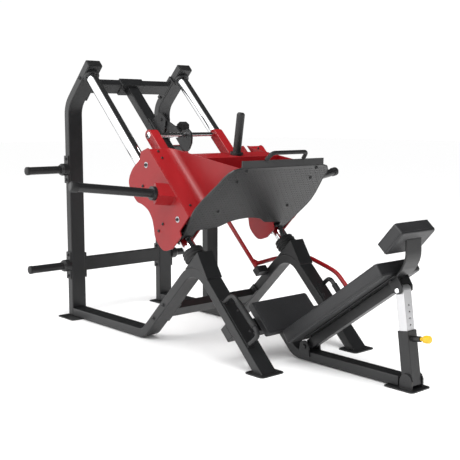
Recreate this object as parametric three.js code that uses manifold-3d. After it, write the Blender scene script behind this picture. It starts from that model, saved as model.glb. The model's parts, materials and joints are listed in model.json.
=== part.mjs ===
// 45-degree leg press machine. Units are millimetres, +Z up.
// X is the width, Y the long axis: the seat and backrest are towards -Y, the rear uprights towards +Y.
// Most pieces follow the guide rods, so two directions are used throughout:
//   u runs down the rods, towards the seat:  (0, -c, -c)
//   w is square to the rods, up and forward: (0, -c, +c)
import * as THREE from 'three';
import { mergeVertices } from 'three/addons/utils/BufferGeometryUtils.js';
import Module from 'manifold-3d';

const wasm = await Module();
wasm.setup();

// ---------- driving dimensions ----------
const GAP = 0.3;              // clearance between pieces that touch
const TUBE_W = 100;           // main tube, across
const TUBE_T = 50;            // main tube, thickness
const SIDE_X = 347.5;         // centre of each side frame and guide rod
const ROD_Y = -1033.2;        // a point on the guide rod axis, before centring
const ROD_Z = 665.8;
const ROD_R = 36;             // guide rod radius
const ROD_TOP = -1196.7;      // guide rod, upper end along u
const ROD_END = 232.7;        // guide rod, lower end along u
const PLATE_T = 6;            // foot plates
const FLOOR = PLATE_T + GAP;  // underside of everything that stands on a foot plate
const HEAD_U = -1222;         // centre line of the leaning part of each upright
const HEAD_W = 80;            // its upper end
const ARCH_U = 253;           // centre line of the rising part of each base tube
const ARCH_W = 19;            // centre line of each front leg
const ARCH_R = 125;           // arch radius
const SPINE_W = -103;         // centre spine, parallel to the rods
const SPINE_Y = -890;         // centre spine, upright part
const CAR_OUT = 430;          // carriage outer plate, outside face
const CAR_IN = 284;           // carriage inner plate, rod side face
const CAR_FRONT = 195;        // front face of the carriage rod boxes
const FOOT_U = 84;            // back face of the footplate
const FOOT_T = 8;
const CROSS_U = -608;         // cross rod
const CROSS_W = 91;
const CROSS_R = 15;
const HORN_R = 24;            // weight horns, for 50 mm plates
const LEVER_X = 240;          // safety lever shaft
const LEVER_W = -203;
const HINGE = [-1700, 80];    // backrest hinge
const BACK_DEG = 35.5;        // backrest slope
const POST_FOOT = [-2352, 40];
const POST_TOP = [-2292, 463];
const SHIFT_Y = 1188.1;       // centres the whole machine on Y = 0

const C45 = Math.SQRT1_2;
const yz = (u, w) => [ROD_Y - (u + w) * C45, ROD_Z + (w - u) * C45];
const v3 = (x, u, w) => new THREE.Vector3(x, ...yz(u, w));
const U_DIR = new THREE.Vector3(0, -C45, -C45);
const W_DIR = new THREE.Vector3(0, -C45, C45);

// ---------- materials ----------
const paint = () => new THREE.MeshStandardMaterial({ color: 0x2b2c2e, roughness: 0.5, metalness: 0.35 });
const red = () => new THREE.MeshStandardMaterial({ color: 0xb0161c, roughness: 0.4, metalness: 0.3 });
const chrome = () => new THREE.MeshStandardMaterial({ color: 0xe2e3e5, roughness: 0.08, metalness: 1.0 });
const silver = () => new THREE.MeshStandardMaterial({ color: 0xc9cacb, roughness: 0.35, metalness: 0.8 });
const black = () => new THREE.MeshStandardMaterial({ color: 0x17181a, roughness: 0.6, metalness: 0.2 });
const rubber = () => new THREE.MeshStandardMaterial({ color: 0x141414, roughness: 0.85, metalness: 0.0 });
const vinyl = () => new THREE.MeshStandardMaterial({ color: 0x232426, roughness: 0.65, metalness: 0.0 });
const yellow = () => new THREE.MeshStandardMaterial({ color: 0xf0c419, roughness: 0.4, metalness: 0.0 });

// ---------- solids ----------
function clean(geo, tol = 1e-3) {
  let g = new THREE.BufferGeometry();
  g.setAttribute('position', geo.attributes.position.clone());
  if (geo.index) g.setIndex(geo.index.clone());
  g = mergeVertices(g, tol);
  const idx = g.index.array, keep = [];
  for (let i = 0; i < idx.length; i += 3) {
    const a = idx[i], b = idx[i + 1], c = idx[i + 2];
    if (a !== b && b !== c && a !== c) keep.push(a, b, c);
  }
  g.setIndex(keep);
  return g;
}
function solid(geo) {
  const g = clean(geo);
  const make = (tri) => new wasm.Manifold(new wasm.Mesh({
    numProp: 3, vertProperties: new Float32Array(g.attributes.position.array), triVerts: new Uint32Array(tri) }));
  let m = make(g.index.array);
  if (m.volume() < 0) {
    const t = Array.from(g.index.array);
    for (let i = 0; i < t.length; i += 3) { const k = t[i]; t[i] = t[i + 1]; t[i + 1] = k; }
    m = make(t);
  }
  return m;
}
function geometry(m) {
  const mesh = m.getMesh();
  const g = new THREE.BufferGeometry();
  const n = mesh.numProp, src = mesh.vertProperties, pos = new Float32Array(src.length / n * 3);
  for (let i = 0; i < src.length / n; i++) for (let k = 0; k < 3; k++) pos[3 * i + k] = src[n * i + k];
  g.setAttribute('position', new THREE.BufferAttribute(pos, 3));
  g.setIndex(Array.from(mesh.triVerts));
  return g;
}
const join = (...list) => list.slice(1).reduce((a, b) => a.add(b), list[0]);
const cut = (a, ...list) => list.reduce((m, b) => m.subtract(b), a);

// outline in the Y-Z plane, extruded across X; the four long edges are rounded by bevel
function prism(points, x0, x1, bevel = 0, seg = 2) {
  const shape = new THREE.Shape(points.map((q) => new THREE.Vector2(q[0], q[1])));
  const g = new THREE.ExtrudeGeometry(shape, { depth: x1 - x0 - 2 * bevel, steps: 1, bevelEnabled: bevel > 0,
    bevelThickness: bevel, bevelSize: bevel, bevelOffset: -bevel, bevelSegments: seg });
  g.applyMatrix4(new THREE.Matrix4().set(0, 0, 1, x0 + bevel, 1, 0, 0, 0, 0, 1, 0, 0, 0, 0, 0, 1));
  return solid(g);
}
const prismUW = (points, x0, x1, bevel = 0, seg = 2) => prism(points.map((q) => yz(q[0], q[1])), x0, x1, bevel, seg);
const rectUW = (u0, u1, w0, w1, x0, x1, bevel = 0) => prismUW([[u0, w0], [u1, w0], [u1, w1], [u0, w1]], x0, x1, bevel);
const rectYZ = (y0, y1, z0, z1, x0, x1, bevel = 0) => prism([[y0, z0], [y1, z0], [y1, z1], [y0, z1]], x0, x1, bevel);
// outline in X-w, extruded along u
function slab(points, u0, u1, holes = [], bevel = 0) {
  const shape = new THREE.Shape(points.map((q) => new THREE.Vector2(q[0], q[1])));
  for (const h of holes) shape.holes.push(new THREE.Path(h.map((q) => new THREE.Vector2(q[0], q[1]))));
  const g = new THREE.ExtrudeGeometry(shape, { depth: u1 - u0 - 2 * bevel, steps: 1, bevelEnabled: bevel > 0,
    bevelThickness: bevel, bevelSize: bevel, bevelOffset: -bevel, bevelSegments: 1 });
  const o = v3(0, u0 + bevel, 0);
  g.applyMatrix4(new THREE.Matrix4().makeBasis(new THREE.Vector3(1, 0, 0), W_DIR, U_DIR).setPosition(o));
  return solid(g);
}
// outline in X-Y, extruded up
function plan(points, z0, z1) {
  const shape = new THREE.Shape(points.map((q) => new THREE.Vector2(q[0], q[1])));
  const g = new THREE.ExtrudeGeometry(shape, { depth: z1 - z0, steps: 1, bevelEnabled: false });
  g.translate(0, 0, z0);
  return solid(g);
}
function cyl(a, b, r, seg = 20, r2 = r) {
  const d = new THREE.Vector3().subVectors(b, a), h = d.length();
  const g = new THREE.CylinderGeometry(r2, r, h, seg);
  g.translate(0, h / 2, 0);
  g.applyQuaternion(new THREE.Quaternion().setFromUnitVectors(new THREE.Vector3(0, 1, 0), d.normalize()));
  g.translate(a.x, a.y, a.z);
  return solid(g);
}
// closed profile of [radius, distance] pairs turned about the axis from a towards b
function ring(profile, a, b, seg = 32) {
  const pts = profile.map((q) => new THREE.Vector2(q[0], q[1]));
  if (pts[0].x > 0) pts.push(pts[0].clone());
  const g = new THREE.LatheGeometry(pts, seg);
  const d = new THREE.Vector3().subVectors(b, a).normalize();
  g.applyQuaternion(new THREE.Quaternion().setFromUnitVectors(new THREE.Vector3(0, 1, 0), d));
  g.translate(a.x, a.y, a.z);
  return solid(g);
}
const circle = (cx, cy, r, n = 24, ph = 0) => Array.from({ length: n }, (_, i) =>
  [cx + r * Math.cos(ph + 2 * Math.PI * i / n), cy + r * Math.sin(ph + 2 * Math.PI * i / n)]);
const roundRect = (x0, x1, y0, y1, r, n = 4) => {
  const out = [];
  for (const [cx, cy, a0] of [[x1 - r, y0 + r, -90], [x1 - r, y1 - r, 0], [x0 + r, y1 - r, 90], [x0 + r, y0 + r, 180]])
    for (let i = 0; i <= n; i++) { const a = (a0 + 90 * i / n) * Math.PI / 180; out.push([cx + r * Math.cos(a), cy + r * Math.sin(a)]); }
  return out;
};
// polyline with its corners rounded
function fillet(pts, radii, n = 8) {
  const out = [pts[0]];
  for (let i = 1; i < pts.length - 1; i++) {
    const p = new THREE.Vector2(...pts[i]);
    const a = new THREE.Vector2(...pts[i - 1]).sub(p).normalize();
    const b = new THREE.Vector2(...pts[i + 1]).sub(p).normalize();
    const half = Math.acos(THREE.MathUtils.clamp(a.dot(b), -1, 1)) / 2;
    const r = radii[i - 1], t = r / Math.tan(half);
    const c = p.clone().add(a.clone().add(b).normalize().multiplyScalar(r / Math.sin(half)));
    const s = p.clone().add(a.clone().multiplyScalar(t)).sub(c), e = p.clone().add(b.clone().multiplyScalar(t)).sub(c);
    let a0 = Math.atan2(s.y, s.x), a1 = Math.atan2(e.y, e.x);
    if (a1 - a0 > Math.PI) a1 -= 2 * Math.PI;
    if (a0 - a1 > Math.PI) a1 += 2 * Math.PI;
    for (let k = 0; k <= n; k++) { const q = a0 + (a1 - a0) * k / n; out.push([c.x + r * Math.cos(q), c.y + r * Math.sin(q)]); }
  }
  out.push(pts[pts.length - 1]);
  return out;
}
// band of thickness t along a polyline
function band(path, t) {
  const left = [], right = [];
  path.forEach((q, i) => {
    const a = i > 0 ? new THREE.Vector2(q[0] - path[i - 1][0], q[1] - path[i - 1][1]).normalize() : null;
    const b = i < path.length - 1 ? new THREE.Vector2(path[i + 1][0] - q[0], path[i + 1][1] - q[1]).normalize() : null;
    const d = a && b ? a.clone().add(b).normalize() : (a || b);
    const k = (t / 2) / (a && b ? Math.max(0.3, d.dot(a)) : 1);
    left.push([q[0] - d.y * k, q[1] + d.x * k]);
    right.push([q[0] + d.y * k, q[1] - d.x * k]);
  });
  return left.concat(right.reverse());
}
// round bar along a path of points with rounded corners
function bar(points, r, bend, steps, sides = 12) {
  const path = new THREE.CurvePath();
  let last = points[0];
  for (let i = 1; i < points.length - 1; i++) {
    const p = points[i], a = new THREE.Vector3().subVectors(points[i - 1], p), b = new THREE.Vector3().subVectors(points[i + 1], p);
    const t = Math.min(bend, a.length() * 0.48, b.length() * 0.48);
    const s = p.clone().add(a.normalize().multiplyScalar(t)), e = p.clone().add(b.normalize().multiplyScalar(t));
    path.add(new THREE.LineCurve3(last, s));
    path.add(new THREE.QuadraticBezierCurve3(s, p, e));
    last = e;
  }
  path.add(new THREE.LineCurve3(last, points[points.length - 1]));
  const shape = new THREE.Shape(circle(0, 0, r, sides).map((q) => new THREE.Vector2(q[0], q[1])));
  return solid(new THREE.ExtrudeGeometry(shape, { steps, bevelEnabled: false, extrudePath: path }));
}
const mirrored = (geo) => {
  const g = geo.clone(); g.scale(-1, 1, 1);
  const t = Array.from(g.index.array);
  for (let i = 0; i < t.length; i += 3) { const k = t[i]; t[i] = t[i + 1]; t[i + 1] = k; }
  g.setIndex(t);
  return g;
};

// ---------- the scene graph ----------
const machine = new THREE.Group();
machine.position.y = SHIFT_Y;
const groups = {};
for (const name of ['frame', 'carriage', 'lever', 'backrest', 'post']) { groups[name] = new THREE.Group(); machine.add(groups[name]); }
function put(group, name, m, material) {
  const mesh = new THREE.Mesh(geometry(m), material);
  mesh.name = name;
  groups[group].add(mesh);
  return mesh;
}
// the left piece has negative X; the right one is its mirror image
// and may be cut first where the two sides differ
function pair(group, name, m, material, cutLeft, cutRight) {
  const left = put(group, name + '_left', cutLeft ? m.subtract(cutLeft) : m, material());
  const mesh = new THREE.Mesh(mirrored(geometry(cutRight ? m.subtract(cutRight) : m)), material());
  mesh.name = name + '_right';
  groups[group].add(mesh);
}

// ---------- side frames ----------
const XL0 = -SIDE_X - TUBE_W / 2, XL1 = -SIDE_X + TUBE_W / 2;
const headCornerZ = ROD_Z - HEAD_U / C45 - (TUBE_T / 2 - ROD_Y);
const uprightPath = fillet([[TUBE_T / 2, FLOOR], [TUBE_T / 2, headCornerZ], yz(HEAD_U, HEAD_W)], [140], 7);
const socket = ring([[ROD_R + 0.8, 0], [50, 0], [50, 14], [46, 18], [ROD_R + 0.8, 18]],
  v3(-SIDE_X, HEAD_U + TUBE_T / 2 - 1, 0), v3(-SIDE_X, 0, 0), 28);
pair('frame', 'rear_upright', join(prism(band(uprightPath, TUBE_T), XL0, XL1, 5), socket), paint);

const railZ = FLOOR + TUBE_T / 2;
const bendW = (railZ - ROD_Z) / C45 + ARCH_U;
const archPath = fillet([[-0.4, railZ], yz(ARCH_U, bendW), yz(ARCH_U, ARCH_W), yz(1030, ARCH_W)], [90, ARCH_R], 9);
const below = rectYZ(-3000, 500, -400, FLOOR, -1200, 1200);
pair('frame', 'base_arch', cut(prism(band(archPath, TUBE_T), XL0, XL1, 5), below), paint);
const archKeepOut = prism(band(archPath, TUBE_T + 2 * GAP), XL0 - 5, XL1 + 5);

pair('frame', 'rear_foot', plan(roundRect(-465, -255, -105, 78, 18), 0, PLATE_T), black);
pair('frame', 'front_foot', plan(roundRect(-SIDE_X - 80, -SIDE_X + 80, -1784, -1652, 22), 0, PLATE_T), black);

// wedge caps that seat the guide rods on the arches
const capLine = [[233, -63], [233, 84], [382, 49], [384, 44], [400, 40], [400, ARCH_W]];
for (let a = 90; a >= 20; a -= 10) {
  const q = a * Math.PI / 180;
  capLine.push([ARCH_U + ARCH_R - ARCH_R * Math.cos(q), ARCH_W - ARCH_R + ARCH_R * Math.sin(q)]);
}
pair('frame', 'rod_seat_cap', cut(prismUW(capLine, -SIDE_X - 51.5, -SIDE_X + 51.5), archKeepOut), paint);

// ---------- guide rods and their rubber bumpers ----------
pair('frame', 'guide_rod', cyl(v3(-SIDE_X, ROD_TOP, 0), v3(-SIDE_X, ROD_END, 0), ROD_R, 32), chrome);
pair('frame', 'rod_bumper', ring([[ROD_R + 0.8, 0], [50, 0], [59, 5], [61, 16], [59, 27], [53, 32], [59, 37], [62, 50], [59, 62], [50, 68.4], [ROD_R + 0.8, 68.4]],
  v3(-SIDE_X, 164.2, 0), v3(-SIDE_X, 300, 0), 28), rubber);

// ---------- cross members ----------
const END_IN = SIDE_X - TUBE_W / 2 - GAP;   // inner face of the side tubes
const endPlates = (u0, u1, w0, w1) => [rectUW(u0, u1, w0, w1, -END_IN, -END_IN + 10), rectUW(u0, u1, w0, w1, END_IN - 10, END_IN)];
put('frame', 'top_crossbeam', join(rectUW(-1245, -1199, -141, -66, -END_IN + 5, END_IN - 5, 4), ...endPlates(-1246, -1198, -206, -20),
  rectUW(-1252, -1191, -147, -60, -88, 88, 3)), paint());
put('frame', 'lower_crossbeam', join(rectYZ(2, 48, 290, 374, -END_IN + 5, END_IN - 5, 4),
  rectYZ(1, 49, 246, 406, -END_IN, -END_IN + 10), rectYZ(1, 49, 246, 406, END_IN - 10, END_IN)), paint());
const inclineCross = join(rectUW(230, 276, -468, -388, -END_IN + 5, END_IN - 5, 4), ...endPlates(229, 277, -512, -344));
put('frame', 'incline_crossbeam', inclineCross, paint());
put('frame', 'seat_crossbeam', join(rectUW(632, 712, ARCH_W - 25 - 0.4 - 50, ARCH_W - 25 - 0.4, -397, 397, 5),
  rectUW(592, 738, -12, 4.6, -150, -128), rectUW(592, 738, -12, 4.6, 128, 150)), paint());

// one bent tube from the top crossbeam, along the rods, then straight down to the low crossbeam
const spineU = -(SPINE_Y - ROD_Y) / C45 - SPINE_W;
const spinePath = fillet([yz(-1190.7, SPINE_W), yz(spineU, SPINE_W), [SPINE_Y, 172]], [110], 7);
put('frame', 'center_spine', cut(prism(band(spinePath, TUBE_T), -40, 40, 5), rectUW(228.7, 277.3, -468.3, -387.7, -60, 60)), paint());

// ---------- weight storage horns on the uprights ----------
const horn = (x0, x1, y, z) => {
  const at = (x) => new THREE.Vector3(x, y, z);
  return join(rectYZ(y - 23, y + 23, z - 86, z + 86, x0 - 10, x0), cyl(at(x0 - 5), at(x0 - 42), 38, 24), cyl(at(x0 - 41), at(x0 - 54), 38, 24, 31),
    cyl(at(x0 - 50), at(x1 + 6), HORN_R, 20), cyl(at(x1 + 7), at(x1), HORN_R, 20, HORN_R - 7));
};
pair('frame', 'storage_horn_upper', horn(XL0 - GAP, -687, 25, 940), black);
pair('frame', 'storage_horn_lower', horn(XL0 - GAP, -684, 25, 331), black);

// ---------- side grips on the front legs ----------
const gripW = ARCH_W + 25 + GAP;
pair('frame', 'grip_handle', join(rectUW(548, 788, gripW, gripW + 6, -388, -308),
  bar([v3(-372, 536, gripW + 2), v3(-366, 540, 122), v3(-352, 800, 126), v3(-372, 800, gripW + 4)], 12.5, 46, 30, 12),
  rectUW(520, 560, gripW, gripW + 6, -388, -340), rectUW(780, 816, gripW, gripW + 6, -388, -340)), black);

// ---------- seat ----------
put('frame', 'seat_pad', prismUW([[566, 12], [572, 5], [757, 5], [764, 12], [764, 44], [757, 50], [572, 50], [566, 44]], -208, 208, 5, 1), vinyl());

// ---------- centre rail, its foot and the backrest hinge ears ----------
const railPath = fillet([[-2304, railZ], [ROD_Y - (ROD_Z - railZ) + 32 / C45, railZ], yz(712.4, -32)], [85], 7);
const xPin = (y, z, r, x0, x1, seg = 20) => cyl(new THREE.Vector3(x0, y, z), new THREE.Vector3(x1, y, z), r, seg);
const earLine = [[-38, 30], [-31, 76], ...circle(0, HINGE[1], 31, 20).slice(0, 11).reverse(), [31, 76], [38, 30]];
const hingeEar = (x0, x1) => prism(earLine.map((q) => [HINGE[0] + q[0], q[1]]), x0, x1);
put('frame', 'center_rail', cut(join(prism(band(railPath, TUBE_T), -39, 39, 5), hingeEar(-47, -38.6), hingeEar(38.6, 47)),
  xPin(HINGE[0], HINGE[1], 10.4, -60, 60)), paint());
put('frame', 'hinge_pin', join(xPin(HINGE[0], HINGE[1], 10, -54, 54), xPin(HINGE[0], HINGE[1], 15, -54, -47.3, 6), xPin(HINGE[0], HINGE[1], 15, 47.3, 54, 6)), black());
const footEar = (x0, x1) => prism([[-36, 3], [-36, 46], [-26, 66], [-10, 76], [10, 76], [26, 66], [36, 46], [36, 3]].map((q) => [POST_FOOT[0] + q[0], q[1]]), x0, x1);
put('frame', 'center_foot', cut(join(plan(roundRect(-73, 73, -2411, -2241, 16), 0, PLATE_T), footEar(-45, -36), footEar(36, 45)),
  xPin(POST_FOOT[0], POST_FOOT[1], 9.4, -60, 60)), black());

// ---------- safety hook that holds the carriage by its cross rod ----------
put('frame', 'hook_bracket', join(rectUW(-905, -745, -77.6, -66, -34, 34), prismUW([[-890, -70], [-872, 20], [-840, 36], [-800, 36], [-775, 8], [-755, -70]], -18, -7),
  prismUW([[-890, -70], [-872, 20], [-840, 36], [-800, 36], [-775, 8], [-755, -70]], 7, 18), cyl(v3(-24, -826, 2), v3(24, -826, 2), 9, 18)), black());
const jaw = [];
for (let a = 0; a <= 180; a += 20) jaw.push([CROSS_U + 16.5 * Math.sin(a * Math.PI / 180), CROSS_W - 16.5 * Math.cos(a * Math.PI / 180)]);
const hookLine = [[-852, 0], [-845, 20], [-826, 28], [-800, 24], [-700, 62], [-650, 68], [-632, 74.5], ...jaw, [-626, 108], [-624, 126], [-612, 136],
  [-585, 139], [-556, 124], [-534, 96], [-525, 60], [-526, 36], [-545, 18], [-580, 12], [-668, 14], [-800, -24], [-826, -27], [-845, -20]];
put('frame', 'safety_hook', cut(prismUW(hookLine, -6, 6), cyl(v3(-30, -826, 2), v3(30, -826, 2), 9.4, 18)), paint());
put('frame', 'hook_weight', join(cyl(v3(6.3, -735, 27), v3(70, -735, 27), 9, 16), cyl(v3(62, -735, 27), v3(112, -735, 27), 34, 6)), rubber());

// ---------- carriage ----------
const backLine = new THREE.SplineCurve([[-448, 132], [-429, 84], [-437, 10], [-425, -55], [-393, -90], [-335, -100], [-279, -98], [-240, -74], [-180, -53],
  [-121, -60], [-75, -84], [-30, -113], [33, -115], [77, -96], [108, -39]].map((q) => new THREE.Vector2(q[0], q[1]))).getPoints(34).map((q) => [q.x, q.y]);
const outerLine = [[-421, 188], ...backLine, [111, 40], [108, 70], [82, 82], [79, 194.5], [-405, 194.5]];
const innerLine = [[-421, 186], ...backLine, [111, 40], [80, 58], [79, 188], [-405, 188]];
const hole = (u, w, r, n = 16) => cyl(v3(-500, u, w), v3(-200, u, w), r, n);
// block welded to the outer plate for each weight horn, which leans up the rods
const hRoot = new THREE.Vector3(-CAR_OUT, -110, 155), hTip = new THREE.Vector3(-985, -217, 141);
const hAt = (t) => { const q = hRoot.clone().lerp(hTip, t / 565); return v3(q.x, q.y, q.z); };
const hBlock = (() => {
  const d = new THREE.Vector3().subVectors(hAt(10), hAt(0)).normalize();
  const across = new THREE.Vector3().crossVectors(W_DIR, d).normalize(), rise = new THREE.Vector3().crossVectors(d, across).normalize();
  const g = new THREE.BoxGeometry(92, 72, 150);
  g.applyMatrix4(new THREE.Matrix4().makeBasis(across, rise, d).setPosition(hAt(15)));
  return solid(g);
})();
const inboard = rectYZ(-2500, 500, 0, 2000, -CAR_OUT + 5, 300);
// the plates on the -X side of each rod reach below the footplate; the other two stop behind it
const lobe = rectUW(79.4, 200, -200, 86, -600, -200);
pair('carriage', 'carriage_outer_plate', cut(join(prismUW(outerLine, -CAR_OUT, -CAR_OUT + 8), cut(hBlock, inboard)), hole(-365, 113, 13), hole(28, 112, 13)), red, undefined, lobe);
pair('carriage', 'carriage_inner_plate', prismUW(innerLine, -CAR_IN, -CAR_IN + 8), red, lobe);

// front face of the rod box, bent forward into the side wall that carries the footplate
const bentSheet = () => {
  const inside = [[-421.7, CAR_FRONT], [-322, CAR_FRONT]], outside = [[-421.7, CAR_FRONT - 6], [-322, CAR_FRONT - 6]];
  for (let i = 1; i <= 8; i++) {
    const a = i / 8 * Math.PI / 2;
    inside.push([-322 + 42 * Math.sin(a), CAR_FRONT + 42 - 42 * Math.cos(a)]);
    outside.push([-322 + 48 * Math.sin(a), CAR_FRONT + 42 - 48 * Math.cos(a)]);
  }
  inside.push([-280, 600]); outside.push([-274, 600]);
  return inside.concat(outside.reverse());
};
const wallLine = [[-408, 150], [-408, 198], [79.5, 552], [79.5, 150]];
pair('carriage', 'carriage_front_panel', slab(bentSheet(), -420, 100).intersect(prismUW(wallLine, -440, -200)), red);

// bearing sleeve round each rod, with square end blocks held between the two plates
const boreCut = cyl(v3(-SIDE_X, -500, 0), v3(-SIDE_X, 200, 0), ROD_R + 0.5, 32);
pair('carriage', 'linear_bearing', cut(join(cyl(v3(-SIDE_X, -412, 0), v3(-SIDE_X, 76, 0), 48, 28), rectUW(-396, -346, -50, 50, -CAR_OUT + 8.3, -CAR_IN - 0.3),
  rectUW(22, 70, -50, 50, -CAR_OUT + 8.3, -CAR_IN - 0.3)), boreCut), black);

// box across the top of the carriage, between the side walls
const along = new THREE.Vector2(487.5, 354).normalize(), up = new THREE.Vector2(-along.y, along.x);
const onWall = (s, d) => { const q = new THREE.Vector2(-408, 198).addScaledVector(along, s).addScaledVector(up, d); return [q.x, q.y]; };
put('carriage', 'carriage_crossbox', prismUW([onWall(172, -1), onWall(298, -1), onWall(298, -76), onWall(172, -76)], -273.7, 273.7, 4), red());
const topMid = onWall(240, -1 + GAP);
const topDir = new THREE.Vector3().addScaledVector(U_DIR, up.x).addScaledVector(W_DIR, up.y);
const topAt = (h) => v3(0, topMid[0], topMid[1]).addScaledVector(topDir, h);
put('carriage', 'weight_horn_center', join(cyl(topAt(0), topAt(14), 37, 24), cyl(topAt(10), topAt(228), HORN_R - 1, 20), cyl(topAt(227), topAt(236), HORN_R - 1, 20, HORN_R - 8)), black());

// arms that carry the cross rod
const armLine = [[-330, 61], [-330, 121]];
for (let a = 0; a <= 180; a += 20) armLine.push([CROSS_U - 30 * Math.sin(a * Math.PI / 180) - 4, CROSS_W + 30 * Math.cos(a * Math.PI / 180)]);
pair('carriage', 'cross_rod_arm', prismUW(armLine, -CAR_IN + 8.3, -213, 3, 1), red);
put('carriage', 'cross_rod', cyl(v3(-212.7, CROSS_U, CROSS_W), v3(212.7, CROSS_U, CROSS_W), CROSS_R, 24), chrome());

// footplate with its bent top edge
const halfFoot = [[0, 152], [60, 147], [118, 132], [172, 96], [230, 87], [290, 84], [316, 80], [324, 60], [322, 46], [330, 40], [372, 40], [386, 45], [396, 70], [403, 110],
  [416, 165], [430, 225], [433, 270], [424, 330], [404, 405], [390, 450], [382, 500], [368, 535], [345, 558], [308, 569], [300, 574], [0, 574]];
const footLine = halfFoot.concat(halfFoot.slice(1, -1).reverse().map((q) => [-q[0], q[1]]));
const edge = (d) => prismUW([[FOOT_U + FOOT_T, 560], [FOOT_U + FOOT_T, 572 + d], [66 - d, 600 + d], [60 - d, 594], [FOOT_U - d, 567], [FOOT_U - d, 560]], -300 - d, 300 + d);
put('carriage', 'footplate', join(slab(footLine, FOOT_U, FOOT_U + FOOT_T), edge(0)), black());
put('carriage', 'footplate_handle', bar([v3(-137, 66, 602), v3(-128, 64, 652), v3(128, 64, 652), v3(137, 66, 602)], 11, 34, 26, 12), black());

// main weight horns: collar and sleeve, standing on the outer plate's block
const onBlock = 90 + GAP;
pair('carriage', 'weight_horn', join(cyl(hAt(onBlock), hAt(112), 38, 28), cyl(hAt(100), hAt(532), HORN_R, 20), cyl(hAt(531), hAt(562), HORN_R + 2.5, 20),
  cyl(hAt(561.5), hAt(569), HORN_R + 2.5, 20, HORN_R - 5)), black);

// ---------- safety lever ----------
const shaft = cyl(v3(LEVER_X, -796, LEVER_W), v3(LEVER_X, 236, LEVER_W), 12.5, 16);
const toV = (x, y, z) => new THREE.Vector3(x, y, z);
const handle = bar([v3(LEVER_X, 178, LEVER_W), v3(440, 157, LEVER_W), toV(440, -1262, 450), toV(440, -1405, 412), toV(440, -1488, 386), toV(440, -1560, 318), toV(440, -1566, 300)], 12.5, 42, 40, 12);
put('lever', 'safety_lever', join(shaft, handle, slab([[LEVER_X, LEVER_W - 3], [LEVER_X + 56, LEVER_W - 3], [LEVER_X + 56, LEVER_W + 3], [LEVER_X, LEVER_W + 3]], 128, 174),
  slab([[LEVER_X, LEVER_W - 10], [LEVER_X, LEVER_W + 10], [84, LEVER_W + 8], [84, LEVER_W - 8]], -794, -782)), red());
put('frame', 'lever_lower_bearing', cut(rectUW(206, 250, LEVER_W - 21, LEVER_W + 21, LEVER_X - 21, END_IN, 0), cyl(v3(LEVER_X, 190, LEVER_W), v3(LEVER_X, 238, LEVER_W), 13, 16)), black());
put('frame', 'lever_upper_bearing', slab([[-34, -128.4], [34, -128.4], [60, LEVER_W + 22], [LEVER_X + 8, LEVER_W + 26], [LEVER_X + 26, LEVER_W + 10], [LEVER_X + 26, LEVER_W - 14], [LEVER_X + 8, LEVER_W - 26], [30, LEVER_W - 22], [-34, -160]],
  -776, -760, [circle(LEVER_X, LEVER_W, 13, 16)]), black());

// ---------- backrest ----------
const bs = Math.sin(BACK_DEG * Math.PI / 180), bc = Math.cos(BACK_DEG * Math.PI / 180);
const bn = (b, n) => [HINGE[0] - bc * b + bs * n, HINGE[1] + bs * b + bc * n];
const prismBN = (pts, x0, x1, bevel = 0, seg = 2) => prism(pts.map((q) => bn(q[0], q[1])), x0, x1, bevel, seg);
const boxBN = (b0, b1, n0, n1, x0, x1, bevel = 0) => prismBN([[b0, n0], [b1, n0], [b1, n1], [b0, n1]], x0, x1, bevel);
const lug = (x0, x1) => prismBN([[672, 27], [672, -20], [690, -46], [704, -52], [722, -48], [734, -30], [738, 27]], x0, x1);
put('backrest', 'backrest_frame', cut(join(boxBN(14, 660, -25, 25, -25, 25, 4), boxBN(40, 744, 25, 31, -70, 70), lug(-41, -33), lug(33, 41),
  xPin(HINGE[0], HINGE[1], 21, -38.2, 38.2, 20)), xPin(HINGE[0], HINGE[1], 10.4, -60, 60), xPin(POST_TOP[0], POST_TOP[1], 8.4, -60, 60, 16)), paint());
put('backrest', 'backrest_pad', prismBN([[-8, 48], [6, 33.3], [728, 33.3], [745, 46], [745, 96], [728, 110], [6, 110], [-8, 94]], -150, 150, 8, 1), vinyl());
put('backrest', 'post_pin', join(xPin(POST_TOP[0], POST_TOP[1], 8, -50, 50, 16), xPin(POST_TOP[0], POST_TOP[1], 13, -50, -41.4, 6), xPin(POST_TOP[0], POST_TOP[1], 13, 41.4, 50, 6)), chrome());
// headrest: top front corner, direction down its face, and the face normal
const HR = [-2327, 792], hd = [0.67, -0.7424], hn = [0.7424, 0.67];
const hr = (s, t) => [HR[0] + hd[0] * s - hn[0] * t, HR[1] + hd[1] * s - hn[1] * t];
const headBox = (d, bevel) => prism([hr(10 - d, -d), hr(140 + d, -d), hr(150 + d, 10 - d), hr(150 + d, 60 + d), hr(140 + d, 70 + d), hr(10 - d, 70 + d), hr(-d, 60 + d), hr(-d, 10 - d)], -128 - d, 128 + d, bevel, 1);
put('backrest', 'headrest_pad', headBox(0, 7), vinyl());
const bracketPath = fillet([bn(745.4, 27), [-2318, 566], [-2345, 618], [-2341, 735]], [60, 110], 5);
put('backrest', 'headrest_bracket', cut(prism(band(bracketPath, 10), -56, 56, 2), headBox(GAP, 0)), black());

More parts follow.
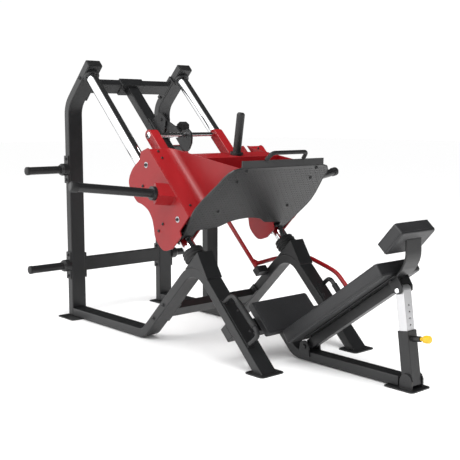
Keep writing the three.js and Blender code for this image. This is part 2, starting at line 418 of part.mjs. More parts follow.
// ---------- telescopic post with its pull pin ----------
const pl = Math.hypot(POST_TOP[0] - POST_FOOT[0], POST_TOP[1] - POST_FOOT[1]);
const pt = [(POST_TOP[0] - POST_FOOT[0]) / pl, (POST_TOP[1] - POST_FOOT[1]) / pl], pn = [-pt[1], pt[0]];
const post = (s, n) => [POST_FOOT[0] + pt[0] * s + pn[0] * n, POST_FOOT[1] + pt[1] * s + pn[1] * n];
const boxP = (s0, s1, n0, n1, x0, x1, bevel = 0) => prism([post(s0, n0), post(s1, n0), post(s1, n1), post(s0, n1)], x0, x1, bevel);
const pv = (s, n) => new THREE.Vector3(0, ...post(s, n));
const PIN_S = 196;
put('post', 'post_outer', cut(join(boxP(-22, 236, -30, 30, -35, 35, 4), cyl(pv(PIN_S, 26), pv(PIN_S, 74), 14, 18), xPin(POST_FOOT[0], POST_FOOT[1], 9, -45, 45, 18)),
  boxP(24, 260, -24.6, 24.6, -29.6, 29.6), cyl(pv(PIN_S, 34), pv(PIN_S, 90), 7, 14)), paint());
const eye = xPin(POST_TOP[0], POST_TOP[1], 14, -60, 60, 18);
const inner = join(boxP(146, pl, -24, 24, -29, 29, 3), xPin(POST_TOP[0], POST_TOP[1], 22, -29, 29, 20));
put('post', 'post_inner', cut(inner, eye, ...[262, 293, 324, 355].map((s) => cyl(pv(s, 8), pv(s, 40), 5, 12))), silver());
put('post', 'pop_pin_knob', ring([[0, 0], [6, 0], [6, 40], [9, 42], [10, 52], [17, 60], [19, 72], [18.5, 88], [14, 94], [0, 95]], pv(PIN_S, 35), pv(PIN_S, 200), 20), yellow());

export default machine;
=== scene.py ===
import json
import math

import bmesh
import bpy
from mathutils import Matrix, Vector
from mathutils.bvhtree import BVHTree


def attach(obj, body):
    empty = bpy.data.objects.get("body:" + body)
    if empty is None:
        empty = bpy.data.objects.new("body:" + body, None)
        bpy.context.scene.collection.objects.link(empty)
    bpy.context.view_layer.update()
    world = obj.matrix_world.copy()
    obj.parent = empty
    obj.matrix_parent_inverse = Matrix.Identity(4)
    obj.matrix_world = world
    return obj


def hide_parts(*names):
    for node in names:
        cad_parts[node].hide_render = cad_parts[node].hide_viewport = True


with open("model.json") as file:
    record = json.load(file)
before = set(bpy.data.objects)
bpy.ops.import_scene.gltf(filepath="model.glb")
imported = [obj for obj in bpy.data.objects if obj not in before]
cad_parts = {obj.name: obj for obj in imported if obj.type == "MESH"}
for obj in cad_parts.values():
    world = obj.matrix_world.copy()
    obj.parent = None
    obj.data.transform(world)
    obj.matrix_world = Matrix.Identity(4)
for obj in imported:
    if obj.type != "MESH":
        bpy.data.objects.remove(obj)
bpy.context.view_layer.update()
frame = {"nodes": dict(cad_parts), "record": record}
NODES = frame["nodes"]

# ---------- the rod frame: u runs down the guide rods, w is square to them, up and forward ----------
C45 = math.sqrt(0.5)
SHIFT = 1188.1


def V(x, u, w):
    return Vector((x, -1033.2 - C45 * (u + w) + SHIFT, 665.8 + C45 * (w - u))) / 1000


def P(x, y, z):
    return Vector((x, y + SHIFT, z)) / 1000


U = Vector((0, -C45, -C45))
W = Vector((0, -C45, C45))
X = Vector((1, 0, 0))


# ---------- materials ----------
def material(name, color, rough, metal=0.0, grain=900, bump=0.05, vary=0.12, edge_highlight=0.0, bevel=0.0025, coat=0.0, sheen=0.0, style="noise"):
    m = bpy.data.materials.new(name)
    m.use_nodes = True
    nt = m.node_tree
    n, l = nt.nodes, nt.links
    b = n["Principled BSDF"]
    b.inputs["Metallic"].default_value = metal
    if coat:
        b.inputs["Coat Weight"].default_value = coat
        b.inputs["Coat Roughness"].default_value = 0.15
    if sheen:
        b.inputs["Sheen Weight"].default_value = sheen
        b.inputs["Sheen Roughness"].default_value = 0.4
    co = n.new("ShaderNodeTexCoord")
    big = n.new("ShaderNodeTexNoise")
    big.inputs["Scale"].default_value = 7
    big.inputs["Detail"].default_value = 5
    l.new(co.outputs["Object"], big.inputs["Vector"])
    ramp = n.new("ShaderNodeValToRGB")
    e = ramp.color_ramp.elements
    e[0].position, e[1].position = 0.3, 0.72
    e[0].color = [c * (1 - vary) for c in color] + [1]
    e[1].color = [min(1, c * (1 + vary)) for c in color] + [1]
    l.new(big.outputs["Fac"], ramp.inputs["Fac"])
    bev = n.new("ShaderNodeBevel")
    bev.samples = 4
    bev.inputs["Radius"].default_value = bevel
    out = ramp.outputs["Color"]
    # painted highlight: along convex edges, where the bevel normal turns away from the true normal, the base colour is
    # mixed toward a lighter tint of itself
    if edge_highlight:
        geo = n.new("ShaderNodeNewGeometry")
        dot = n.new("ShaderNodeVectorMath")
        dot.operation = "DOT_PRODUCT"
        l.new(bev.outputs["Normal"], dot.inputs[0])
        l.new(geo.outputs["True Normal"], dot.inputs[1])
        mp = n.new("ShaderNodeMapRange")
        mp.inputs["From Min"].default_value = 0.9
        mp.inputs["From Max"].default_value = 0.985
        mp.inputs["To Min"].default_value = edge_highlight
        mp.inputs["To Max"].default_value = 0
        l.new(dot.outputs["Value"], mp.inputs["Value"])
        mix = n.new("ShaderNodeMixRGB")
        mix.inputs["Color2"].default_value = [min(1, c * 1.6 + 0.08) for c in color] + [1]
        l.new(mp.outputs["Result"], mix.inputs["Fac"])
        l.new(out, mix.inputs["Color1"])
        out = mix.outputs["Color"]
    l.new(out, b.inputs["Base Color"])
    rr = n.new("ShaderNodeMapRange")
    rr.inputs["To Min"].default_value = rough * 0.82
    rr.inputs["To Max"].default_value = rough * 1.18
    mid = n.new("ShaderNodeTexNoise")
    mid.inputs["Scale"].default_value = 34
    mid.inputs["Detail"].default_value = 4
    l.new(co.outputs["Object"], mid.inputs["Vector"])
    l.new(mid.outputs["Fac"], rr.inputs["Value"])
    l.new(rr.outputs["Result"], b.inputs["Roughness"])
    if style == "leather":
        fine = n.new("ShaderNodeTexVoronoi")
        fine.feature = "DISTANCE_TO_EDGE"
        fine.inputs["Scale"].default_value = grain
        h = fine.outputs["Distance"]
    elif style == "brushed":
        sc = n.new("ShaderNodeMapping")
        sc.inputs["Scale"].default_value = (1, 1, 0.03)
        l.new(co.outputs["Object"], sc.inputs["Vector"])
        fine = n.new("ShaderNodeTexNoise")
        fine.inputs["Scale"].default_value = grain
        l.new(sc.outputs["Vector"], fine.inputs["Vector"])
        h = fine.outputs["Fac"]
    else:
        fine = n.new("ShaderNodeTexNoise")
        fine.inputs["Scale"].default_value = grain
        fine.inputs["Detail"].default_value = 2
        h = fine.outputs["Fac"]
    if style != "brushed":
        l.new(co.outputs["Object"], fine.inputs["Vector"])
    bp = n.new("ShaderNodeBump")
    bp.inputs["Strength"].default_value = bump
    bp.inputs["Distance"].default_value = 0.001
    l.new(h, bp.inputs["Height"])
    if bevel:
        l.new(bev.outputs["Normal"], bp.inputs["Normal"])
    l.new(bp.outputs["Normal"], b.inputs["Normal"])
    return m


# the eighth value in each call is the strength of that material's painted edge highlight
M = {
    "frame_paint": material("frame_paint", (0.011, 0.0113, 0.012), 0.38, 0.0, 700, 0.14, 0.16, 0.22),
    "black_paint": material("black_paint", (0.011, 0.011, 0.0117), 0.34, 0.0, 700, 0.12, 0.16, 0.2),
    "red_paint": material("red_paint", (0.27, 0.004, 0.007), 0.34, 0.0, 700, 0.1, 0.08, 0.16),
    "chrome": material("chrome", (0.86, 0.87, 0.88), 0.09, 1.0, 260, 0.02, 0.03, 0, style="brushed"),
    "silver_tube": material("silver_tube", (0.62, 0.62, 0.63), 0.3, 0.85, 420, 0.08, 0.06, 0.2, style="brushed"),
    "rubber": material("rubber", (0.009, 0.009, 0.0095), 0.6, 0.0, 420, 0.25, 0.2, 0.1),
    "vinyl": material("vinyl", (0.016, 0.0162, 0.0175), 0.44, 0.0, 420, 0.3, 0.14, 0, bevel=0, sheen=0.05, style="leather"),
    "thread": material("thread", (0.05, 0.05, 0.055), 0.7, 0.0, 1500, 0.4, 0.2, 0, bevel=0),
    "yellow_knob": material("yellow_knob", (0.83, 0.5, 0.012), 0.3, 0.0, 300, 0.06, 0.06, 0, coat=0.4),
    "bolt": material("bolt", (0.05, 0.05, 0.052), 0.32, 0.8, 900, 0.1, 0.15, 0.3, bevel=0.0008),
    "washer": material("washer", (0.5, 0.5, 0.52), 0.3, 0.9, 900, 0.08, 0.08, 0.2, bevel=0.0008),
    "tread": material("tread", (0.02, 0.0202, 0.021), 0.36, 0.0, 700, 0.12, 0.16, 0.3, bevel=0.001),
}
SLOT_OF = {s["node"]: s["material_slot"] for s in frame["record"]["subparts"]}
for name, o in NODES.items():
    if o.type == "MESH":
        mat = M["tread" if name == "footplate" else SLOT_OF.get(name, "frame_paint")]
        if o.material_slots:
            for s in o.material_slots:
                s.link = "OBJECT"
                s.material = mat
        else:
            o.data.materials.append(mat)


# ---------- mesh helpers ----------
def make(name, verts, faces, mat, body, slot, replaces=(), smooth=True):
    me = bpy.data.meshes.new(name)
    me.from_pydata([tuple(v) for v in verts], [], faces)
    bm = bmesh.new()
    bm.from_mesh(me)
    bmesh.ops.recalc_face_normals(bm, faces=bm.faces)
    bm.to_mesh(me)
    bm.free()
    me.materials.append(M[mat])
    o = bpy.data.objects.new(name, me)
    bpy.context.collection.objects.link(o)
    if smooth:
        me.shade_smooth()
        o.modifiers.new("split", "EDGE_SPLIT").split_angle = math.radians(38)
    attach(o, body)
    if replaces:
        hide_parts(*replaces)
    return o


def lathe_data(profile, a, d, seg=64):
    d = Vector(d).normalized()
    s = d.orthogonal().normalized()
    t = d.cross(s)
    verts, faces, rings = [], [], []
    for r, h in profile:
        if r < 1e-6:
            rings.append([len(verts)])
            verts.append(Vector(a) + d * h / 1000)
        else:
            rings.append(list(range(len(verts), len(verts) + seg)))
            for i in range(seg):
                q = 2 * math.pi * i / seg
                verts.append(Vector(a) + d * h / 1000 + (s * math.cos(q) + t * math.sin(q)) * r / 1000)
    for p, q in zip(rings, rings[1:]):
        for i in range(seg):
            j = (i + 1) % seg
            if len(p) == 1:
                faces.append((p[0], q[i], q[j]))
            elif len(q) == 1:
                faces.append((p[i], p[j], q[0]))
            else:
                faces.append((p[i], p[j], q[j], q[i]))
    return verts, faces


def merge(parts):
    V_, F_ = [], []
    for v, f in parts:
        k = len(V_)
        V_ += v
        F_ += [tuple(i + k for i in q) for q in f]
    return V_, F_


def route(pts, bend, n=7):
    out = [pts[0]]
    for i in range(1, len(pts) - 1):
        p = pts[i]
        a, b = pts[i - 1] - p, pts[i + 1] - p
        t = min(bend / 1000, a.length * 0.48, b.length * 0.48)
        s, e = p + a.normalized() * t, p + b.normalized() * t
        for k in range(n + 1):
            f = k / n
            out.append(s * (1 - f) ** 2 + p * 2 * f * (1 - f) + e * f * f)
    out.append(pts[-1])
    return out


def tube_data(path, r, sides=24, closed=False):
    verts, faces = [], []
    tan = []
    for i in range(len(path)):
        a = path[i - 1] if i or closed else path[0]
        b = path[(i + 1) % len(path)] if i < len(path) - 1 or closed else path[-1]
        tan.append((b - a).normalized())
    nrm = tan[0].orthogonal().normalized()
    rings = []
    for i, p in enumerate(path):
        if i:
            nrm = (nrm - tan[i] * nrm.dot(tan[i])).normalized()
        bi = tan[i].cross(nrm)
        rings.append(range(len(verts), len(verts) + sides))
        for k in range(sides):
            q = 2 * math.pi * k / sides
            verts.append(p + (nrm * math.cos(q) + bi * math.sin(q)) * r / 1000)
    for i in range(len(path) if closed else len(path) - 1):
        p, q = rings[i], rings[(i + 1) % len(path)]
        for k in range(sides):
            j = (k + 1) % sides
            faces.append((p[k], p[j], q[j], q[k]))
    if not closed:
        faces.append(tuple(rings[0]))
        faces.append(tuple(rings[-1]))
    return verts, faces


def bolt_data(at, d, r=8, h=7, washer=0, socket=True):
    """A button-head bolt with a round socket recess, lifted to sit on a washer when one is given."""
    prof = []
    base = 1.6 if washer else 0.2
    prof += [(0, base), (r, base), (r, base + h * 0.35), (r * 0.86, base + h * 0.8), (r * 0.6, base + h), (r * 0.42, base + h), (r * 0.4, base + h * 0.45), (0, base + h * 0.45)]
    return lathe_data(prof, at, d, 24)


def bolts(name, body, places, mat="bolt", slot="black_paint", ring="bolt"):
    parts, wash = [], []
    for at, d, r, w in places:
        parts.append(bolt_data(at, d, r, r * 0.8, w))
        if w:
            wash.append(lathe_data([(r * 0.6, 0.2), (w - 0.8, 0.2), (w, 0.8), (w - 0.8, 1.8), (r * 0.6, 1.8), (r * 0.6, 0.2)], at, d, 32))
    make(name, *merge(parts), mat, body, slot)
    if wash:
        make(name + "_washers", *merge(wash), ring, body, slot)


SIDES = (("left", -1), ("right", 1))

# ---------- turned and bent pieces with smooth surfaces ----------
for side, k in SIDES:
    sx = 347.5 * k
    make("rod_" + side, *lathe_data([(0, 0), (34.8, 0), (36, 1.2), (36, 1428.2), (34.8, 1429.4), (0, 1429.4)], V(sx, -1196.7, 0), U, 96), "chrome", "frame", "chrome", ["guide_rod_" + side])
    rib = [(36.8, 0), (48, 0), (50, 1.5)]
    for i in range(41):
        f = i / 40
        rib.append((53 + 5.2 * math.sin(math.pi * f) + 3.4 * math.cos(6 * math.pi * f), 3 + 62 * f))
    rib += [(50, 67), (48, 68.4), (36.8, 68.4), (36.8, 0)]
    make("bumper_" + side, *lathe_data(rib, V(sx, 164.2, 0), U, 64), "rubber", "frame", "rubber", ["rod_bumper_" + side])
    # wiper ring where each rod leaves its bearing
    make("rod_wiper_" + side, *merge([lathe_data([(36.9, 0), (47, 0), (48, 1), (48, 5), (44, 8), (37.4, 8.6), (36.9, 8), (36.9, 0)], V(sx, 76.4, 0), U, 48),
         lathe_data([(36.9, 0), (47, 0), (48, 1), (48, 5), (44, 8), (37.4, 8.6), (36.9, 8), (36.9, 0)], V(sx, -412.4, 0), -U, 48)]), "rubber", "carriage", "rubber")
    # storage horns: plate with rounded edges stays in the frame, with two bolts on each plate and a rubber cap on each
    # horn's tip
    for row, z, tip in (("upper", 940, 687), ("lower", 331, 684)):
        x0 = 407.8
        prof = [(0, 0), (38, 0), (38, 32), (36.5, 36), (31, 44.2), (25, 46), (24, 47), (24, tip - x0 - 9), (23, tip - x0 - 8), (23, tip - x0 - 7), (24.6, tip - x0 - 6.5), (24.6, tip - x0 - 1.5), (22, tip - x0 - 0.2), (0, tip - x0)]
        plate = []
        for bz in (-67, 67):
            plate.append((P(k * x0, 25, z + bz), X * k, 8.5, 13))
        bolts("storage_bolts_%s_%s" % (row, side), "frame", plate)
        cap = [(24.15, 0), (25.2, 0.4), (25.4, 3), (25.4, 16), (24.6, 18.6), (22, 20.4), (0, 20.8)]
        make("storage_cap_%s_%s" % (row, side), *lathe_data(cap, P(k * (tip - 20.4), 25, z), X * k, 48), "rubber", "frame", "black_paint")
    # side grips: ribbed rubber sleeve over the bent bar
    path = route([V(k * 372, 536, 52.3), V(k * 366, 540, 122), V(k * 352, 800, 126), V(k * 372, 800, 54.3)], 46, 10)
    a, b = V(k * 363.3, 592, 122.8), V(k * 354.8, 748, 125.2)
    n = 90
    sleeve = [a.lerp(b, i / n) for i in range(n + 1)]
    verts, faces = [], []
    d = (b - a).normalized()
    prof = [(12.7, 0), (16, 0.4), (17, 3)]
    length = (b - a).length * 1000
    for i in range(121):
        prof.append((15.3 + 0.9 * abs(math.sin(i * math.pi / 6)), 5 + (length - 10) * i / 120))
    prof += [(17, length - 3), (16, length - 0.4), (12.7, length)]
    make("grip_sleeve_" + side, *lathe_data(prof, a, d, 40), "rubber", "frame", "rubber")
    bolts("grip_bolts_" + side, "frame", [(V(k * 322, 601, 50.4), W, 7, 10), (V(k * 322, 732, 50.4), W, 7, 10)])
    # main weight horns: an end cap on each
    root, tip = V(k * 430, -110, 155), V(k * 985, -217, 141)
    dh = (tip - root).normalized()
    make("horn_cap_" + side, *lathe_data([(24.2, 0), (26.6, 0.5), (27.4, 3), (27.4, 34), (26, 37.5), (22, 40), (0, 40.5)], root + dh * 0.5285, dh, 56), "rubber", "carriage", "black_paint")
    # plate bolts
    outer = [(V(k * 430, u, w), X * k, r, ws) for u, w, r, ws in ((-365, 113, 9.5, 17), (28, 112, 9.5, 17), (-303, 8, 8, 0), (-176, 146, 8, 0), (-37, -3, 8, 0), (-34, -59, 8, 0))]
    bolts("carriage_bolts_" + side, "carriage", outer, ring="washer")
    bolts("panel_bolts_" + side, "carriage", [(V(k * 377, u, 195), W, 7.5, 0) for u in (-387, -338, 5)])
    bolts("footplate_bolts_" + side, "carriage", [(V(k * x, 92, w), U, 8, 11) for x, w in ((274, 469), (261, 235), (259, 551))])
    inner = []
    for z in (393, 259):
        inner.append((P(k * 287, 25, z), -X * k, 9, 13))
        inner.append((P(k * 397.6, 25, z), X * k, 9, 13))
    for w in (-40, -186):
        inner.append((V(k * 287, -1222, w), -X * k, 9, 13))
        inner.append((V(k * 397.6, -1222, w + 0), X * k, 9, 13)) if w > -100 else None
    for w in (-492, -364):
        inner.append((V(k * 287, 253, w), -X * k, 9, 13))
        inner.append((V(k * 397.6, 253, w), X * k, 9, 13))
    bolts("frame_bolts_" + side, "frame", [q for q in inner if q])
    # plastic plug on the sloping head of each upright
    c = V(sx, -1222, 80.3)
    cap = []
    for ww, hx, hu in ((0, 47.5, 22.5), (2.2, 47.5, 22.5), (3.4, 46, 21)):
        ring = []
        for q in range(24):
            ang = 2 * math.pi * q / 24
            cx, sn = math.cos(ang), math.sin(ang)
            ring.append(c + X * (hx - 6) / 1000 * (1 if cx > 0 else -1) + U * (hu - 6) / 1000 * (1 if sn > 0 else -1) + (X * cx + U * sn) * 0.006 + W * ww / 1000)
        cap.append(ring)
    vv = [p for r_ in cap for p in r_]
    ff = [(i, (i + 1) % 24, 24 + (i + 1) % 24, 24 + i) for i in range(24)] + [(24 + i, 24 + (i + 1) % 24, 48 + (i + 1) % 24, 48 + i) for i in range(24)] + [tuple(range(48, 72)), tuple(range(0, 24))]
    make("head_plug_" + side, vv, ff, "rubber", "frame", "black_paint")

for side, k in SIDES:
    make("cross_bar_end_" + side, *lathe_data([(0, 3.6), (13, 3.6), (15, 1.8), (15, 0), (21, 0), (21, -0.4), (0, -0.4)][:4] + [(15.1, 0.3), (20, 0.3), (20, -0.1), (0, -0.1)], V(k * 275.8, -608, 91), X * k, 40), "chrome", "carriage", "chrome")
make("cross_bar", *lathe_data([(0, 0), (14, 0), (15, 1), (15, 424.4), (14, 425.4), (0, 425.4)], V(-212.7, -608, 91), X, 48), "chrome", "carriage", "chrome", ["cross_rod"])
grip = route([V(-137, 66, 602), V(-128, 64, 652), V(128, 64, 652), V(137, 66, 602)], 34, 10)
make("top_handle", *tube_data(grip, 11, 28), "rubber", "carriage", "rubber", ["footplate_handle"])
lever = route([V(240, 178, -203), V(440, 157, -203), P(440, -1262, 450), P(440, -1405, 412), P(440, -1488, 386), P(440, -1560, 318), P(440, -1566, 300)], 42, 10)
web = [V(240, 128, -200), V(240, 174, -200), V(294, 174, -200), V(240, 128, -206), V(240, 174, -206), V(294, 174, -206)]
crank = []
for uu in (-794, -782):
    for xx, ww in ((240, -214), (240, -192), (90, -195), (84, -198), (84, -208), (90, -211)):
        crank.append(V(xx, uu, ww))
cf = [tuple(range(6)), tuple(range(6, 12))] + [(i, (i + 1) % 6, 6 + (i + 1) % 6, 6 + i) for i in range(6)]
make("lever_bar", *merge([tube_data(lever, 12.5, 28), lathe_data([(0, 0), (11.5, 0), (12.5, 1), (12.5, 1031), (11.5, 1032), (0, 1032)], V(240, -796, -203), U, 32),
     (web, [(0, 1, 2), (3, 5, 4), (0, 3, 4, 1), (1, 4, 5, 2), (2, 5, 3, 0)]), (crank, cf)]), "red_paint", "lever", "red_paint", ["safety_lever"])
make("lever_end_plug", *lathe_data([(12.2, 0), (13, 0.6), (13, 5), (11, 7), (0, 7.4)], P(440, -1566, 300), P(440, -1566, 300) - P(440, -1563, 312), 28), "rubber", "lever", "rubber")

# ---------- raised tread on the footplate ----------
HALF = [(0, 152), (60, 147), (118, 132), (172, 96), (230, 87), (290, 84), (316, 80), (324, 60), (322, 46), (330, 40), (372, 40), (386, 45), (396, 70), (403, 110),
        (416, 165), (430, 225), (433, 270), (424, 330), (404, 405), (390, 450), (382, 500), (368, 535), (345, 558), (308, 569), (300, 574), (0, 574)]


def inside(x, w, margin):
    x = abs(x)
    hit = False
    near = 1e9
    pts = HALF + [(0, 574)]
    poly = HALF
    for i in range(len(poly)):
        x1, y1 = poly[i]
        x2, y2 = poly[(i + 1) % len(poly)]
        if (y1 > w) != (y2 > w) and x < (x2 - x1) * (w - y1) / (y2 - y1) + x1:
            hit = not hit
        if x1 == 0 and x2 == 0:
            continue
        dx, dy = x2 - x1, y2 - y1
        t = max(0, min(1, ((x - x1) * dx + (w - y1) * dy) / (dx * dx + dy * dy)))
        near = min(near, math.hypot(x - x1 - t * dx, w - y1 - t * dy))
    return hit and near > margin


tv, tf = [], []
step = 19.0
for i in range(-24, 25):
    for j in range(0, 30):
        x, w = i * step, 50 + j * step
        long_x = (i + j) % 2 == 0
        if not inside(x, w, 16) or any(math.hypot(abs(x) - bx, w - bw) < 20 for bx, bw in ((274, 469), (261, 235), (259, 551))):
            continue
        a, b = (8.0, 2.4) if long_x else (2.4, 8.0)
        k = len(tv)
        for s, hgt in ((1.0, 92.0), (0.55, 93.5)):
            tv += [V(x - a * s, hgt, w), V(x, hgt, w - b * s), V(x + a * s, hgt, w), V(x, hgt, w + b * s)]
        tf += [(k + q, k + (q + 1) % 4, k + 4 + (q + 1) % 4, k + 4 + q) for q in range(4)] + [(k + 4, k + 5, k + 6, k + 7), (k + 3, k + 2, k + 1, k)]
make("footplate_tread", tv, tf, "tread", "carriage", "black_paint", smooth=False)
# a folded rim round the footplate, standing a little proud of its face
rim = [(x, w) for x, w in HALF] + [(-x, w) for x, w in reversed(HALF[1:-1])]
pts = []
for x, w in rim:
    cx, cw = 0, 330
    pts.append(V(x * 0.992, 92.2, cw + (w - cw) * 0.985))
make("footplate_rim", *tube_data(pts, 1.6, 8, closed=True), "tread", "carriage", "black_paint")


# ---------- cushions ----------
def cushion(name, node, body, origin, ex, ey, ez, L, Wd, T, cap, r, crown, voxel=0.006, soft=3):
    """Box of leather-cloth on foam: ex along L, ey across Wd, ez its thickness. It rests flat on its back, at origin."""
    bm = bmesh.new()
    bmesh.ops.create_cube(bm, size=1)
    s = 0.0015
    for v in bm.verts:
        v.co = Vector((v.co.x * (L - 2 * s), v.co.y * (Wd - 2 * s), (v.co.z + 0.5) * (T - 1.5 * s) + 0.0002))
    vert = [e for e in bm.edges if abs(e.verts[0].co.z - e.verts[1].co.z) > 1e-4]
    bmesh.ops.bevel(bm, geom=vert, offset=r * 1.3, segments=5, profile=0.5, affect="EDGES")
    top = [e for e in bm.edges if e.verts[0].co.z > T * 0.7 and e.verts[1].co.z > T * 0.7]
    bmesh.ops.bevel(bm, geom=top, offset=r, segments=4, profile=0.6, affect="EDGES")
    me = bpy.data.meshes.new(name)
    bm.to_mesh(me)
    bm.free()
    o = bpy.data.objects.new(name, me)
    bpy.context.collection.objects.link(o)
    rm = o.modifiers.new("remesh", "REMESH")
    rm.mode = "VOXEL"
    rm.voxel_size = voxel
    dg = bpy.context.evaluated_depsgraph_get()
    me2 = bpy.data.meshes.new_from_object(o.evaluated_get(dg))
    o.modifiers.clear()
    o.data = me2
    bm = bmesh.new()
    bm.from_mesh(me2)
    for _ in range(soft):
        bmesh.ops.smooth_vert(bm, verts=bm.verts, factor=0.5, use_axis_x=True, use_axis_y=True, use_axis_z=True)
    bm.to_mesh(me2)
    bm.free()
    start = [v.co.copy() for v in me2.vertices]
    pin = o.vertex_groups.new(name="pin")
    pin.add([v.index for v in me2.vertices if v.co.z < 0.008], 1.0, "REPLACE")
    # the seams hold the cloth in along the edges of the top panel
    edge = [v.index for v in me2.vertices if abs(v.co.z - (T - r * 1.1)) < 0.005 and (abs(abs(v.co.x) - L / 2) < 0.012 or abs(abs(v.co.y) - Wd / 2) < 0.012)]
    pin.add(edge, 0.9, "REPLACE")
    cl = o.modifiers.new("cloth", "CLOTH")
    st = cl.settings
    st.quality = 4
    st.mass = 0.3
    st.tension_stiffness = st.compression_stiffness = 12
    st.shear_stiffness = 8
    st.bending_stiffness = 0.6
    st.vertex_group_mass = "pin"
    st.use_pressure = True
    st.uniform_pressure_force = 4
    st.effector_weights.gravity = 0
    cl.collision_settings.use_self_collision = False
    cl.point_cache.frame_start, cl.point_cache.frame_end = 1, 20
    sc = bpy.context.scene
    for f in range(1, 21):
        sc.frame_set(f)
    dg = bpy.context.evaluated_depsgraph_get()
    done = bpy.data.meshes.new_from_object(o.evaluated_get(dg))
    moved = [v.co.copy() for v in done.vertices]
    o.modifiers.clear()
    sc.frame_set(1)
    for i, v in enumerate(me2.vertices):
        p = start[i]
        d = moved[i] - p
        if d.length > cap:
            d *= cap / d.length
        q = p + d
        # crown of the foam, deepest in the middle of the top panel and drawn in along the sides
        fx, fy = min(1, abs(q.x) / (L / 2)), min(1, abs(q.y) / (Wd / 2))
        if q.z > T * 0.5:
            q.z += crown * (1 - fx ** 4) * (1 - fy ** 4) - crown * 0.35
        q.z = max(0.0, min(q.z, T + 0.006))
        v.co = q
    me2.update()
    tree = BVHTree.FromObject(o, bpy.context.evaluated_depsgraph_get())
    place = Matrix((
        (ex.x, ey.x, ez.x, origin.x), (ex.y, ey.y, ez.y, origin.y), (ex.z, ey.z, ez.z, origin.z), (0, 0, 0, 1)))

    def seam(tag, zf, inset, rad):
        """A welted seam or row of stitches that lies on the swollen surface."""
        loop = []
        hl, hw, rc = L / 2 - inset, Wd / 2 - inset, r * 1.6
        for cx, cy, a0 in ((hl - rc, -hw + rc, -90), (hl - rc, hw - rc, 0), (-hl + rc, hw - rc, 90), (-hl + rc, -hw + rc, 180)):
            for q in range(9):
                a = math.radians(a0 + 90 * q / 8)
                loop.append(Vector((cx + rc * math.cos(a), cy + rc * math.sin(a), zf)))
        dense = []
        for i, p in enumerate(loop):
            nx = loop[(i + 1) % len(loop)]
            m = max(1, int((nx - p).length / 0.008))
            dense += [p.lerp(nx, j / m) for j in range(m)]
        out = []
        for p in dense:
            hit, nor, _, _ = tree.find_nearest(p)
            out.append((hit, nor))
        for _ in range(2):
            out = [((out[i - 1][0] + out[i][0] * 2 + out[(i + 1) % len(out)][0]) / 4, out[i][1]) for i in range(len(out))]
        return out

    def welt(tag, zf, inset, rad, lift, mat):
        out = seam(tag, zf, inset, rad)
        v_, f_ = tube_data([place @ (h + n_ * lift) for h, n_ in out], rad * 1000, 8, closed=True)
        make(name + "_" + tag, v_, f_, mat, body, "vinyl")

    def stitches(tag, zf, inset):
        out = seam(tag, zf, inset, 0)
        parts = []
        i = 0
        while i + 1 < len(out):
            a, b = out[i][0] + out[i][1] * 0.0006, out[i + 1][0] + out[i + 1][1] * 0.0006
            m = a.lerp(b, 0.62)
            parts.append(tube_data([place @ a, place @ a.lerp(m, 0.5), place @ m], 0.75, 6))
            i += 1
        v_, f_ = merge(parts)
        make(name + "_" + tag, v_, f_, "thread", body, "vinyl")

    welt("welt", T - r * 0.75, 0.0, 0.0021, 0.0004, "vinyl")
    welt("lower_welt", 0.012, 0.0, 0.0018, 0.0003, "vinyl")
    stitches("stitches", T + 0.002, r * 1.15 + 0.006)
    # move the cushion into place, give it the vinyl, smooth it and hide the pad it replaces
    for v in me2.vertices:
        v.co = place @ v.co
    me2.materials.clear()
    me2.materials.append(M["vinyl"])
    me2.shade_smooth()
    sub = o.modifiers.new("subdivision", "SUBSURF")
    sub.levels = sub.render_levels = 1
    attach(o, body)
    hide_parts(node)
    return o


th = math.radians(35.5)
bdir, ndir = Vector((0, -math.cos(th), math.sin(th))), Vector((0, math.sin(th), math.cos(th)))


def B(b, n):
    return P(0, -1700, 80) + bdir * b / 1000 + ndir * n / 1000


cushion("backrest_cushion", "backrest_pad", "backrest", B(368.5, 33.4), bdir, X, ndir, 0.753, 0.300, 0.0766, 0.007, 0.011, 0.005)
cushion("seat_cushion", "seat_pad", "frame", V(0, 665, 5.1), U, X, W, 0.198, 0.416, 0.0449, 0.005, 0.007, 0.004, 0.005, 2)
hd, hn = Vector((0, 0.67, -0.7424)), Vector((0, 0.7424, 0.67))
hn = -hd.cross(X)
hc = P(0, -2327, 792) + hd * 0.075 - Vector((0, 0.7424, 0.67)) * 0.0699
cushion("headrest_cushion", "headrest_pad", "backrest", hc, hd, X, Vector((0, 0.7424, 0.67)), 0.150, 0.256, 0.0698, 0.006, 0.008, 0.004, 0.0045, 2)

# bolts that hold the headrest bracket
bolts("bracket_bolts", "backrest", [(B(b, 24.8) + X * x / 1000, -ndir, 6.5, 10) for x in (-54, 54) for b in (80, 400, 700)])

# ---------- floor, light and camera ----------
fl = bpy.data.meshes.new("floor")
fl.from_pydata([(-40, -40, 0), (40, -40, 0), (40, 40, 0), (-40, 40, 0)], [], [(0, 1, 2, 3)])
floor = bpy.data.objects.new("floor", fl)
bpy.context.collection.objects.link(floor)
fm = bpy.data.materials.new("floor")
fm.use_nodes = True
fb = fm.node_tree.nodes["Principled BSDF"]
fb.inputs["Base Color"].default_value = (0.96, 0.96, 0.96, 1)
fb.inputs["Roughness"].default_value = 0.7
fb.inputs["Specular IOR Level"].default_value = 0.0
fl.materials.append(fm)

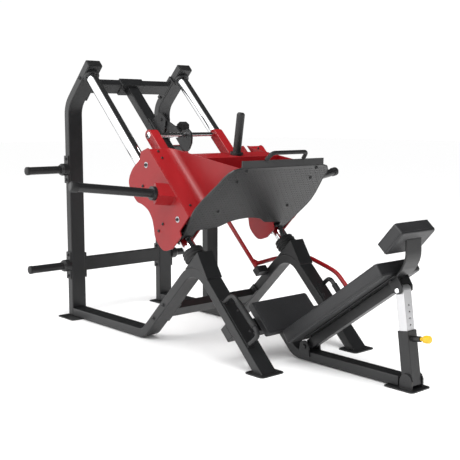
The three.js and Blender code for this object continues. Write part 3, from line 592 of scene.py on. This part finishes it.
scene = bpy.context.scene
scene.view_settings.view_transform = "Standard"
scene.view_settings.look = "None"
world = bpy.data.worlds.new("studio")
scene.world = world
world.use_nodes = True
wn, wl = world.node_tree.nodes, world.node_tree.links
bg = wn["Background"]
bg.inputs["Color"].default_value = (1, 1, 1, 1)
# the studio is bright overhead and on one side, and dark on the other, so that polished metal shows bands
wc = wn.new("ShaderNodeTexCoord")
wd = wn.new("ShaderNodeVectorMath")
wd.operation = "DOT_PRODUCT"
wd.inputs[1].default_value = Vector((-0.86, 0.46, 0.16)).normalized()
wl.new(wc.outputs["Generated"], wd.inputs[0])
wm = wn.new("ShaderNodeMapRange")
wm.interpolation_type = "SMOOTHSTEP"
wm.inputs["From Min"].default_value = 0.22
wm.inputs["From Max"].default_value = 0.6
wm.inputs["To Min"].default_value = 0.03
wm.inputs["To Max"].default_value = 1.8
wl.new(wd.outputs["Value"], wm.inputs["Value"])
lp = wn.new("ShaderNodeLightPath")
wx = wn.new("ShaderNodeMix")
wl.new(lp.outputs["Is Glossy Ray"], wx.inputs["Factor"])
wl.new(wm.outputs["Result"], wx.inputs["B"])
wx.inputs["A"].default_value = 1.03
wl.new(wx.outputs["Result"], bg.inputs["Strength"])


def area(name, loc, target, size, power, shape=1.0):
    d = bpy.data.lights.new(name, "AREA")
    d.shape = "RECTANGLE"
    d.size, d.size_y = size, size * shape
    d.energy = power
    o = bpy.data.objects.new(name, d)
    o.location = loc
    o.rotation_euler = (Vector(target) - Vector(loc)).to_track_quat("-Z", "Y").to_euler()
    bpy.context.collection.objects.link(o)
    o.visible_glossy = name == "key"


area("key", (-3.6, -0.2, 4.4), (0, 0, 0.5), 2.6, 90)
area("top", (0.0, -1.6, 4.8), (0, 0, 0.3), 3.6, 130)
area("front", (-0.6, -5.2, 4.4), (0, 0, 0.2), 2.6, 15)

cd = bpy.data.cameras.new("camera")
cd.lens, cd.sensor_width, cd.sensor_height, cd.sensor_fit = 68.44, 36, 36, "AUTO"
cam = bpy.data.objects.new("camera", cd)
cam.location = (-3.2739, -4.7719 + SHIFT / 1000, 1.2550)
cam.rotation_euler = (math.radians(90 - 7.24), 0, math.radians(-41.46))
cd.clip_end = 200
bpy.context.collection.objects.link(cam)
scene.camera = cam
